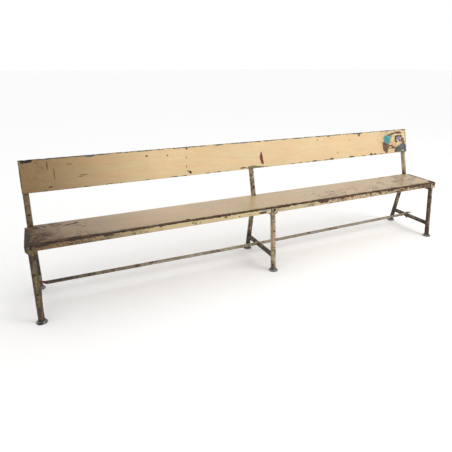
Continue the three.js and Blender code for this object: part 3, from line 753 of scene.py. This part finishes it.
def worn_wood_paint(name, coats, left_from, gloss):
    """Oil gloss paint on old softwood, in several coats. Brush marks run with the plank, hairline
    crazing holds dirt, and chips show older coats with a dark rim and then weathered wood."""
    fresh, aged, rosy, greyed, left_end, dirt_and_shade = [colour(code) for code in coats]
    m = new_material(name)
    place = add(m, "TexCoord")["Object"]
    along = add(m, "SeparateXYZ", {0: place})[0]
    tags = ("bare", "grime_and_shade", "crazed", "yellowed_and_lit")
    bare, grime_and_shade, crazed, yellowed_and_lit = [add(m, "Attribute", attribute_name=tag)["Fac"] for tag in tags]
    layer = add(m, "Attribute", attribute_name="layer")["Color"]
    long_way = add(m, "Mapping", {"Vector": place, "Scale": (0.07, 1.0, 1.0)})[0]
    slow = add(m, "TexNoise", {"Vector": place, "Scale": every(260), "Detail": 4.0})[0]
    brush = add(m, "TexNoise", {
        "Vector": long_way, "Scale": every(8), "Detail": 5.0, "Roughness": 0.6})[0]
    longer_way = add(m, "Mapping", {"Vector": place, "Scale": (0.12, 1.0, 1.0)})[0]
    bands = add(m, "TexNoise", {"Vector": longer_way, "Scale": every(46), "Detail": 4.0})
    fine = add(m, "TexNoise", {
        "Vector": place, "Scale": every(16), "Detail": 9.0, "Roughness": 0.68})[0]
    ragged = add(m, "TexNoise", {
        "Vector": place, "Scale": every(28), "Detail": 8.0, "Roughness": 0.62, "Distortion": 0.4})[0]
    # Tone of the top coat: patchy; paler where tagged, a yellowed cream that is partly painted
    # light lifting a dimly lit face; rubbed and dulled in long bands; and browner and darker towards
    # the left end, partly dirt and partly painted shade for the main light's falloff.
    patchy = add(m, "MapRange", {0: slow, 1: 0.36, 2: 0.66})[0]
    pale = add(m, "Math", {0: yellowed_and_lit, 1: 0.7}, operation="MULTIPLY")[0]
    rubbed = add(m, "MapRange", {0: bands[0], 1: 0.42, 2: 0.62, 4: 0.45})[0]
    green = add(m, "SeparateColor", {0: bands[1]})[1]
    dulled = add(m, "MapRange", {0: green, 1: 0.46, 2: 0.62, 4: 0.5})[0]
    left = add(m, "MapRange", {
        0: along, 1: left_from, 2: left_from - 1.0}, interpolation_type="SMOOTHSTEP")[0]
    tone = fresh
    for share, other in ((patchy, aged), (pale, colour("cfbf8e")), (rubbed, rosy),
                         (dulled, greyed), (left, left_end)):
        tone = add(m, "Mix", {0: share, 6: tone, 7: other}, data_type="RGBA")[2]
    # The brush left fine streaks, and dirt lies over them in ragged specks, as does shade painted
    # where it was tagged, such as under the seat.
    streak = add(m, "MapRange", {0: brush, 1: 0.3, 2: 0.7, 3: 0.92, 4: 1.04})[0]
    tone = add(m, "Mix", {
        "Factor": 1.0, 6: tone, 7: streak}, data_type="RGBA", blend_type="MULTIPLY")[2]
    specks = add(m, "MapRange", {0: ragged, 1: 0.34, 2: 0.66, 3: 0.3, 4: 1.7})[0]
    soil_and_shade = add(m, "Math", {0: grime_and_shade, 1: specks}, operation="MULTIPLY", use_clamp=True)[0]
    tone = add(m, "Mix", {0: soil_and_shade, 6: tone, 7: dirt_and_shade}, data_type="RGBA")[2]
    # Crazing: broken hairlines about 1 mm wide between flakes of about 24 mm. The real ones are
    # finer, and are drawn this wide so that they show.
    wobble = add(m, "Mix", {0: 0.035, 4: place, 5: ragged}, data_type="VECTOR")[1]
    rims = add(m, "TexVoronoi", {"Vector": wobble, "Scale": every(24)}, feature="DISTANCE_TO_EDGE")[0]
    hairline = add(m, "MapRange", {0: rims, 1: 0.065, 2: 0.025})[0]
    spread = add(m, "TexNoise", {"Vector": place, "Scale": every(70), "Detail": 3.0})[0]
    broken = add(m, "Math", {0: crazed, 1: spread}, operation="ADD")[0]
    broken = add(m, "MapRange", {0: broken, 1: 1.0, 2: 1.08})[0]
    crack = add(m, "Math", {0: hairline, 1: broken}, operation="MULTIPLY")[0]
    tone = add(m, "Mix", {0: crack, 6: tone, 7: colour("3e2c1d")}, data_type="RGBA")[2]
    # Chips: the tagged wear and the noise together decide where the top coats have gone.
    loss = add(m, "Math", {0: ragged, 1: 0.62, 2: bare}, operation="MULTIPLY_ADD")[0]
    loss = add(m, "Math", {0: fine, 1: 0.46, 2: loss}, operation="MULTIPLY_ADD")[0]
    rim = add(m, "MapRange", {0: loss, 1: 0.95, 2: 1.03, 4: 0.6})[0]
    chip = add(m, "MapRange", {0: loss, 1: 1.02, 2: 1.04})[0]
    weathered = add(m, "MapRange", {0: fine, 1: 0.35, 2: 0.65, 3: 0.55, 4: 1.5})[0]
    under = add(m, "Mix", {
        "Factor": 1.0, 6: layer, 7: weathered}, data_type="RGBA", blend_type="MULTIPLY")[2]
    tone = add(m, "Mix", {0: rim, 6: tone, 7: colour("7c5f3e")}, data_type="RGBA")[2]
    skin = add(m, "Mix", {0: chip, 6: tone, 7: under}, data_type="RGBA")[2]
    rough = add(m, "MapRange", {0: fine, 1: 0.3, 2: 0.7, 3: gloss, 4: gloss + 0.16})[0]
    rough = add(m, "Mix", {0: soil_and_shade, 2: rough, 3: 0.66})[0]
    rough = add(m, "Mix", {0: chip, 2: rough, 3: 0.78})[0]
    relief = add(m, "Math", {0: brush, 1: 0.12, 2: 1.0}, operation="MULTIPLY_ADD")[0]
    relief = add(m, "Math", {0: crack, 1: -0.5, 2: relief}, operation="MULTIPLY_ADD")[0]
    pitted = add(m, "Math", {0: fine, 1: chip}, operation="MULTIPLY")[0]
    relief = add(m, "Math", {0: pitted, 1: 0.5, 2: relief}, operation="MULTIPLY_ADD")[0]
    relief = add(m, "Math", {0: relief, 1: chip}, operation="SUBTRACT")[0]
    return gloss_over(m, skin, rough, relief, 0.5 * MM)


def spread_spots(x, across, spots):
    """How bare each point is from a list of worn spots, and which coat shows there. A spot is
    its place along and across, its half length and half width, all in mm, and its coat."""
    bare = np.zeros(len(x))
    layer = np.tile(np.array(colour("3d2b1c")), (len(x), 1))
    for spot_x, spot_across, half_long, half_wide, coat in spots:
        far = np.sqrt(((x - spot_x) / half_long) ** 2 + ((across - spot_across) / half_wide) ** 2)
        here = np.clip(1 - 0.5 * far, 0, 1)
        stronger = here > np.maximum(bare, 0.12)
        layer[stronger] = colour(coat)
        bare = np.maximum(bare, here)
    return bare, layer


def wear_down(piece, places, normals, depth):
    """Sinks a piece's points by so many millimetres each."""
    worn = places - normals * depth[:, None]
    piece.data.vertices.foreach_set("co", (worn / 1000).ravel())


def blend(low, high, share):
    """Two coats' colours mixed by each point's share."""
    return np.array(colour(low)) * (1 - share) + np.array(colour(high)) * share


seat_size = seat_high - seat_low
# The cuts, in millimetres, are closest near the front edge, where the wear is finest.
across_cuts = [y * MM for y in (8, 11, 14, 17, 20, 24, 28, *range(34, 294, 7))]
through_cuts = [z * MM for z in (9, 13, 17, 21, 25, 29)]
bm = dense_plank(seat_size, SEAT_ROUNDING, SEAT_END_ROUNDING, SEAT_STEP, across_cuts, through_cuts)
bmesh.ops.translate(bm, vec=seat_low, verts=bm.verts)
seat_gloss_paint = worn_wood_paint(
    "beige_gloss_paint_on_seat_plank",
    ("bda781", "b19875", "bd9976", "a69c7a", "76562b", "3a2409"), left_from=-0.5, gloss=0.24)
seat = as_piece("seat_plank", bm, seat_gloss_paint)
slots = bmesh.new()
slot_half = PIPE_RADIUS + SLOT_GAP
slot_front = bend.y - slot_half
slot_depth = seat_high.y + SLOT_OVERCUT - slot_front
for side in SIDES:
    # The end slots are open towards the plank's ends.
    start = seat_low.x - SLOT_OVERCUT if side == "left" else frame_x[side] - slot_half
    end = seat_high.x + SLOT_OVERCUT if side == "right" else frame_x[side] + slot_half
    block(slots, ((start + end) / 2, slot_front + slot_depth / 2, bend.z),
          (end - start, slot_depth, seat_size.z * 1.5))
shape_with(seat, slots, "DIFFERENCE")

places, normals = points_of(seat)
x, y, z = places.T
front_y, top_z = seat_low.y * 1000, seat_high.z * 1000
from_front = y - front_y
below_top = top_z - z
# Worn spots on the top: x, y, half length, half width, and the coat that shows.
SEAT_TOP_SPOTS = (
    (-1462, -70, 20, 120, "33220f"), (-1440, -158, 46, 16, "2c1d0f"), (-1452, 10, 18, 26, "4a3220"),
    (-1418, -96, 13, 22, "3b291a"), (-1392, -140, 26, 9, "4a3220"), (-1405, -30, 9, 15, "5a4029"),
    (-1232, 48, 30, 6, "3f2c1c"), (-1200, 58, 16, 9, "33241a"), (-1262, 36, 22, 5, "4a3424"),
    (-1190, 12, 24, 5, "5a4330"), (-1165, -18, 20, 5, "5a4330"), (-1150, 30, 7, 6, "4a3424"),
    (-1290, 64, 18, 6, "4a3424"), (-1330, 78, 20, 6, "4a3424"), (-1350, -60, 14, 7, "4a3424"),
    (-1376, 60, 16, 10, "3b291a"), (-1420, 60, 18, 14, "33241a"), (-1300, -20, 10, 5, "5a4330"),
    (-1010, -164, 120, 7, "77736a"), (-800, -168, 60, 6, "7d776c"), (-585, -162, 13, 8, "2a1f18"),
    (1464, 0, 9, 120, "3f2e20"), (1455, -155, 26, 20, "35251a"), (1425, 108, 34, 6, "4d3a28"),
    (1170, 84, 26, 6, "5a4330"), (1010, 20, 9, 5, "5a4330"), (-330, 108, 7, 5, "2a1f18"),
    (1380, 40, 14, 5, "5a4330"), (1120, 62, 9, 6, "6a4c34"), (880, -130, 14, 5, "6a4c34"),
    (560, -60, 14, 6, "5a4330"), (640, -110, 12, 5, "6a4c34"), (760, -80, 18, 5, "5a4330"),
    (330, -40, 10, 5, "6a4c34"), (420, -90, 12, 5, "5a4330"), (960, -70, 14, 5, "5a4330"),
)
top_bare, top_layer = spread_spots(x, y, SEAT_TOP_SPOTS)
on_top = ramp(z, top_z - 5, top_z - 1)
# The bared band along the front top edge: its width wanders, and grows towards the left end.
line = np.column_stack((x, 0 * x, 0 * x))
band = 4 + 9 * wander(line, 150, 1) + 8 * wander(line, 34, 2) + 8 * wander(line, 13, 3)
band = band + 9 * ramp(x, -500, -1300)
from_corner = from_front + (1.2 + 1.6 * wander(line, 24, 4) + ramp(x, -400, -1100)) * below_top
edge_bare = np.clip(1 - 0.5 * from_corner / band, 0, 1)
rear_bare = 0.55 * ramp(y, 108, 114) * wander(places, 35, 12)
# Worn spots on the front face: x, z, half length, half height, and the coat that shows.
FRONT_SPOTS = (
    (-62, 440, 26, 4, "74797c"), (-70, 433, 16, 3, "8a8a80"), (-84, 425, 28, 6, "2b2622"),
    (400, 438, 40, 12, "5a3a1e"), (470, 444, 24, 5, "3a2416"), (560, 442, 22, 8, "4a2c1a"),
    (-345, 434, 9, 5, "5a4326"), (-250, 425, 6, 5, "5a4326"), (-560, 430, 7, 4, "5a4326"),
    (640, 440, 12, 6, "5a2f1c"), (900, 432, 12, 8, "5a3018"), (1010, 440, 18, 6, "4a3018"),
    (1120, 428, 12, 8, "5a3420"), (1230, 438, 20, 6, "4a3018"), (1340, 430, 16, 8, "4b3626"),
    (1456, 434, 26, 18, "2b2623"), (-1420, 440, 56, 8, "2f2416"), (-1180, 444, 80, 4, "3a2a18"),
    (-1050, 438, 26, 5, "3d3020"), (-1250, 424, 16, 4, "4a3a24"),
)
front_bare, front_layer = spread_spots(x, z, FRONT_SPOTS)
# The front face is also speckled with small chips, more of them and redder to the right.
on_front = (from_front < 1.2) * 1.0
speckled = ramp(wander(places, 13, 14), 0.48, 0.8) * (0.3 + 0.7 * ramp(x, -100, 900))
front_bare = np.maximum(front_bare, 0.56 * speckled)
front_bare = front_bare + (0.08 + 0.12 * ramp(x, 700, 1200)) * wander(places, 22, 15)
reddish = (ramp(wander(places, 30, 16), 0.5, 0.8) * on_front * ramp(x, 0, 400))[:, None]
end_bare = 0.8 * ramp(np.abs(x), 1471.5, 1474) * (0.5 + wander(places, 30, 17))
bare = np.maximum.reduce([top_bare * on_top, edge_bare, rear_bare, front_bare * on_front, end_bare])
layer = np.where((on_front > 0)[:, None], front_layer, top_layer)
layer = layer * (1 - reddish) + np.array(colour("50291a")) * reddish
# The bared wood along the front edge: brown, darker towards the left end, partly painted shade for the
# light's falloff, and darkest where the edge turns down, a painted shadow line under it.
dark_edge = blend("38240f", "593a1a", ramp(wander(line, 60, 5), 0.35, 0.65)[:, None])
dark_edge = dark_edge * (1 - 0.4 * ramp(x, -700, -1400))[:, None]
dark_edge = dark_edge * (0.45 + 0.55 * ramp(from_front, 1, 5))[:, None]
layer = np.where((edge_bare > np.where(on_front > 0, front_bare, top_bare))[:, None], dark_edge, layer)
layer[:, 3] = 1
# Crazing is closest at the left end, on the right half's front part, and on the front face.
crazed = 0.33 + 0.18 * ramp(x, 100, 600) * ramp(y, 100, -40) + 0.2 * ramp(x, -950, -1200)
crazed = crazed + 0.14 * on_front
# Dirt: stains at the left end, a line behind the bared band, and the front face. The underside
# is painted darker, as shade.
stains = ramp(wander(places * (0.6, 1, 1), 60, 18), 0.42, 0.72)
grime_and_shade = 0.05 + ramp(x, -1240, -1420) * on_top * (0.35 + 0.6 * stains)
grime_and_shade = grime_and_shade + 0.35 * ramp(x, -1200, -1420) * ramp(y, 0, -110) * on_top
grime_and_shade = grime_and_shade + 0.35 * ramp(band + 10 - from_front, 0, 9) * on_top + 0.3 * (normals[:, 2] < -0.5)
grime_and_shade = grime_and_shade + (0.05 + 0.2 * ramp(x, -700, -1250) + 0.45 * ramp(x, 800, 1150)) * on_front
grime_and_shade = grime_and_shade + 0.3 * ramp(x, 950, 1400) * (0.3 + stains)
tag_wear(seat, bare, grime_and_shade, layer)
attribute(seat, "crazed", crazed)
# The front face is tagged paler: partly its yellowed paint, partly painted light that lifts a face the
# lamp leaves dim. Less of it to the right.
attribute(seat, "yellowed_and_lit", on_front * (1 - 0.6 * ramp(x, 0, 500)))
# Wear takes wood away as well as paint: the front edge is rubbed round and nicked.
hollow = 1.5 * ramp(edge_bare, 0.5, 0.95) * (0.3 + wander(places, 30, 21))
hollow = hollow + 2.8 * ramp(wander(places, 17, 22), 0.6, 0.95) * ramp(from_front, 10, 1) * on_top
wear_down(seat, places, normals, hollow + 0.5 * ramp(bare, 0.5, 0.8))
smooth(seat, 40)
finish_piece(seat, "seat_board")


# --------------------
# Back board: a thinner plank, screwed to the uprights from behind, in cream gloss. Its edges
# are chipped all along, and at the right end older coats show in large patches.
BOARD_ABOVE_SEAT = 181 * MM
BOARD_HEIGHT = 190 * MM
BOARD_THICKNESS = 18 * MM
BOARD_ROUNDING = 3 * MM
BOARD_END_ROUNDING = 1.5 * MM
BOARD_STEP = 4.5 * MM
BOARD_GAP = 0.3 * MM
board_low, board_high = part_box("back_board")
out_of_back = Vector((0, math.cos(LEAN), -math.sin(LEAN)))
board_corner = up_the_upright(seat_high.z + BOARD_ABOVE_SEAT) - out_of_back * (PIPE_RADIUS + BOARD_GAP)
board_corner.x = board_low.x
board_frame = Matrix((
    (1, 0, 0, board_corner.x),
    (0, up_the_back.y, -out_of_back.y, board_corner.y),
    (0, up_the_back.z, -out_of_back.z, board_corner.z),
    (0, 0, 0, 1),
))
board_size = Vector((board_high.x - board_low.x, BOARD_HEIGHT, BOARD_THICKNESS))
across_cuts = [v * MM for v in range(7, 187, 4)]
through_cuts = [w * MM for w in (6, 9, 12)]
bm = dense_plank(board_size, BOARD_ROUNDING, BOARD_END_ROUNDING, BOARD_STEP, across_cuts, through_cuts)
board_gloss_paint = worn_wood_paint(
    "cream_gloss_paint_on_back_board",
    ("d8be90", "d0b589", "d7b285", "cdbb93", "856840", "5f472a"), left_from=-0.55, gloss=0.36)
board = as_piece("back_board_plank", bm, board_gloss_paint)

places, normals = points_of(board)
# Along the bench, up the board and through it from the back.
x, v, w = (places + [board_low.x * 1000, 0, 0]).T
# Worn spots on the front: x, height up the board, half length, half height, and the coat.
BOARD_SPOTS = (
    (-1412, 184, 24, 13, "1f1814"), (-1440, 178, 10, 8, "1f1814"), (-1075, 185, 28, 9, "4c5257"),
    (-1300, 189, 40, 4, "2b241f"), (-737, 152, 8, 6, "6f5638"), (-604, 144, 6, 5, "6f5638"),
    (-471, 176, 7, 5, "5f4a30"), (-478, 120, 2.5, 10, "7a5c3a"), (-484, 60, 2.5, 12, "7a5c3a"),
    (-462, 21, 8, 8, "3a2a1c"),
    (-475, 30, 8, 4, "5a3f24"), (-1315, 145, 2.5, 32, "4f3a26"), (-1283, 90, 2.5, 40, "4f3a26"),
    (-1309, 23, 12, 5, "5a4022"), (-1193, 145, 20, 2.5, "7c5c3a"), (-1120, 75, 22, 3, "6b5030"),
    (-1140, 66, 14, 2.5, "6b5030"), (73, 70, 11, 34, "6e3026"), (80, 40, 7, 20, "6e3026"),
    (-7, 9, 40, 10, "6f6a52"), (-75, 12, 22, 5, "8a4a38"), (50, 7, 20, 5, "4a4334"),
    (-60, 187, 40, 5, "5b5f63"), (120, 187, 18, 5, "54463a"), (665, 184, 16, 7, "5a5f66"),
    (951, 185, 44, 6, "4e545a"), (958, 170, 10, 9, "6a5a42"), (560, 160, 8, 4, "9a7a50"),
    (680, 6, 18, 7, "4a4038"), (870, 7, 22, 6, "4b5a5f"), (1072, 8, 14, 8, "3a3030"),
    (1110, 8, 12, 7, "4a3a30"), (520, 5, 20, 5, "5a5044"), (740, 48, 7, 5, "a8884e"),
    (860, 140, 10, 7, "cf9f6a"),
    # The right end: a turquoise coat, brown wood below it, and grey and lavender coats.
    (1241, 128, 26, 20, "3a7f86"), (1255, 104, 22, 22, "418288"), (1233, 100, 18, 16, "4b7d82"),
    (1279, 132, 22, 14, "608880"), (1223, 76, 22, 17, "4d4138"), (1215, 44, 16, 26, "57412c"),
    (1245, 58, 20, 26, "66503a"), (1233, 22, 15, 17, "5a4632"), (1209, 66, 12, 30, "6b4438"),
    (1275, 152, 24, 7, "57574f"), (1309, 160, 22, 7, "5a4d42"), (1350, 166, 20, 8, "4e3a30"),
    (1372, 164, 22, 10, "5d3c36"), (1396, 160, 12, 7, "4e3a30"),
    (1362, 136, 22, 7, "4a3c33"), (1341, 116, 8, 22, "493b34"), (1346, 92, 12, 8, "3f342e"),
    (1396, 134, 14, 9, "4b3f3c"), (1412, 108, 13, 13, "4b413f"), (1388, 96, 16, 6, "5a4a44"),
    (1374, 113, 17, 16, "6f6c8a"), (1384, 122, 12, 10, "7c7894"),
    (1287, 62, 22, 6, "5a4632"), (1309, 46, 20, 8, "4b3d2d"), (1277, 40, 9, 4, "6b5238"),
    (1348, 34, 22, 15, "414840"), (1372, 30, 30, 26, "4c5650"), (1400, 42, 26, 24, "515b56"),
    (1338, 14, 20, 9, "4a3d30"), (1424, 70, 12, 24, "52404f"), (1434, 34, 12, 34, "4a3a49"),
    (1418, 98, 10, 8, "5e5058"), (1450, 130, 4, 60, "4a3b28"),
    (1300, 116, 16, 20, "c2b57c"), (1308, 78, 22, 12, "c79a78"), (1421, 150, 20, 12, "c0b280"),
)
spot_bare, layer = spread_spots(x, v, BOARD_SPOTS)
# The edges: chipped along nearly all of the top, in stretches of the bottom, and at the ends.
line = np.column_stack((x, 0 * x, 0 * x))
edge_reach = 2.5 + 4 * wander(line, 45, 31) + 3 * wander(line, 14, 30)
to_top, to_bottom = board_size.y * 1000 - v, v
top_segments = ramp(wander(line, 70, 32), 0.36, 0.52)
bottom_segments = ramp(wander(line, 60, 33), 0.48, 0.66)
top_wear = np.clip(1 - 0.5 * to_top / edge_reach, 0, 1) * (0.55 + 0.45 * top_segments)
bottom_wear = np.clip(1 - 0.5 * to_bottom / edge_reach, 0, 1) * (0.25 + 0.7 * bottom_segments)
to_end = np.minimum(x - board_low.x * 1000, board_high.x * 1000 - x)
end_wear = np.clip(1 - 0.5 * to_end / edge_reach, 0, 1) * 0.85
edge_wear = np.maximum.reduce([top_wear, bottom_wear, end_wear]) * 0.95
on_face = (w > BOARD_THICKNESS * 500) * 1.0
bare = np.maximum(spot_bare * on_face, edge_wear) + 0.06 * wander(places, 30, 34)
edge_layer = blend("2b2019", "413f3b", ramp(wander(line, 50, 35), 0.35, 0.65)[:, None])
layer = np.where((edge_wear > spot_bare)[:, None], edge_layer, layer)
# Crazing is closest at the two ends, and dirt gathers there and under the top edge. Towards
# the left end the board is darker still, partly dirt and partly painted shade for the light's falloff.
crazed = 0.20 + 0.14 * ramp(x, -1150, -1350) + 0.16 * ramp(x, 1180, 1300)
crazed = crazed + 0.06 * wander(places, 140, 36)
grime_and_shade = 0.03 + 0.22 * ramp(x, -1000, -1460) + 0.2 * ramp(to_top, 14, 2) * on_face
grime_and_shade = grime_and_shade + on_face * ramp(x, 1050, 1300) * (0.10 + 0.22 * ramp(wander(places, 40, 38), 0.35, 0.75))
tag_wear(board, bare, grime_and_shade, layer)
attribute(board, "crazed", crazed)
attribute(board, "yellowed_and_lit", 0 * x)
nick = 1.6 * ramp(edge_wear, 0.6, 0.95) * ramp(wander(places, 24, 37), 0.4, 0.8)
wear_down(board, places, normals, nick + 0.3 * ramp(bare, 0.5, 0.8))
board.data.transform(board_frame)
smooth(board, 40)
finish_piece(board, "back_board")


# --------------------
# Bolts and screws: hex-headed steel with chamfered heads, brown with rust. One bolt holds
# each tab, two screws each the plank and the board, and a bolt and nut each stretcher end.
rusty_bolt_steel = worn_steel("rusty_bolt_steel", "1f1a17", "423a34", "38271c", 0.9)
HEX_RADIUS = 7.5 * MM
HEX_THICKNESS = 5.5 * MM
HEX_CHAMFER = 1 * MM
SHANK_RADIUS = 4 * MM
SHANK_SIDES = 20
SHANK_IN_HEAD = 1 * MM
BOARD_SCREW_INSET = 45 * MM
BOARD_SCREW_DEPTH = 12 * MM


def hex_block(bm, seat_point, away, thickness, both_ends=False):
    """A hexagonal head or nut. Its outer corners are chamfered, and a nut's inner ones too."""
    top = seat_point + away * thickness
    round_bar(bm, HEX_RADIUS, seat_point, top, 6)
    rims = [edge for edge in bm.edges
            if abs((edge.verts[0].co - edge.verts[1].co).normalized().dot(away)) < 0.5
            and (both_ends or (edge.verts[0].co - top).length < HEX_RADIUS * 1.05)]
    round_off(bm, rims, HEX_CHAMFER, 2)


def hex_screw(name, node, seat_point, tip):
    """A screw or bolt from its tip to where its head's inner face sits."""
    away = (seat_point - tip).normalized()
    bm = bmesh.new()
    hex_block(bm, seat_point, away, HEX_THICKNESS)
    screw = as_piece(name, bm, rusty_bolt_steel)
    shank = bmesh.new()
    round_bar(shank, SHANK_RADIUS, tip, seat_point + away * SHANK_IN_HEAD, SHANK_SIDES)
    shape_with(screw, shank, "UNION")
    smooth(screw, 30)
    finish_piece(screw, node)


for side in SIDES:
    low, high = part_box(f"tab_bolt_{side}")
    middle = (low + high) / 2
    head = Vector((middle.x, low.y + HEX_THICKNESS, middle.z))
    hex_screw(f"tab_bolt_rusty_{side}", f"tab_bolt_{side}", head, Vector((middle.x, high.y, middle.z)))
    for place in ("front", "rear"):
        low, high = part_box(f"bearer_screw_{place}_{side}")
        middle = (low + high) / 2
        head = Vector((middle.x, middle.y, low.z + HEX_THICKNESS))
        hex_screw(f"plank_screw_{place}_{side}", f"bearer_screw_{place}_{side}", head,
                  Vector((middle.x, middle.y, high.z)))
    for place, along in (("lower", BOARD_SCREW_INSET), ("upper", BOARD_HEIGHT - BOARD_SCREW_INSET)):
        rear_face = board_corner + up_the_back * along
        rear_face.x = frame_x[side]
        head = rear_face + out_of_back * (2 * PIPE_RADIUS + 2 * BOARD_GAP)
        hex_screw(f"board_screw_hex_{place}_{side}", f"board_screw_{place}_{side}", head,
                  rear_face - out_of_back * BOARD_SCREW_DEPTH)

for side in ("left", "right"):
    low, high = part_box(f"stretcher_bolt_{side}")
    middle = (low + high) / 2
    head = Vector((middle.x, middle.y, high.z - HEX_THICKNESS))
    hex_screw(f"stretcher_bolt_hex_{side}", f"stretcher_bolt_{side}", head,
              Vector((middle.x, middle.y, low.z)))
    low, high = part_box(f"stretcher_nut_{side}")
    bm = bmesh.new()
    top, downwards = Vector((middle.x, middle.y, high.z)), Vector((0, 0, -1))
    hex_block(bm, top, downwards, high.z - low.z, both_ends=True)
    nut = as_piece(f"stretcher_nut_hex_{side}", bm, rusty_bolt_steel)
    smooth(nut, 30)
    finish_piece(nut, f"stretcher_nut_{side}")
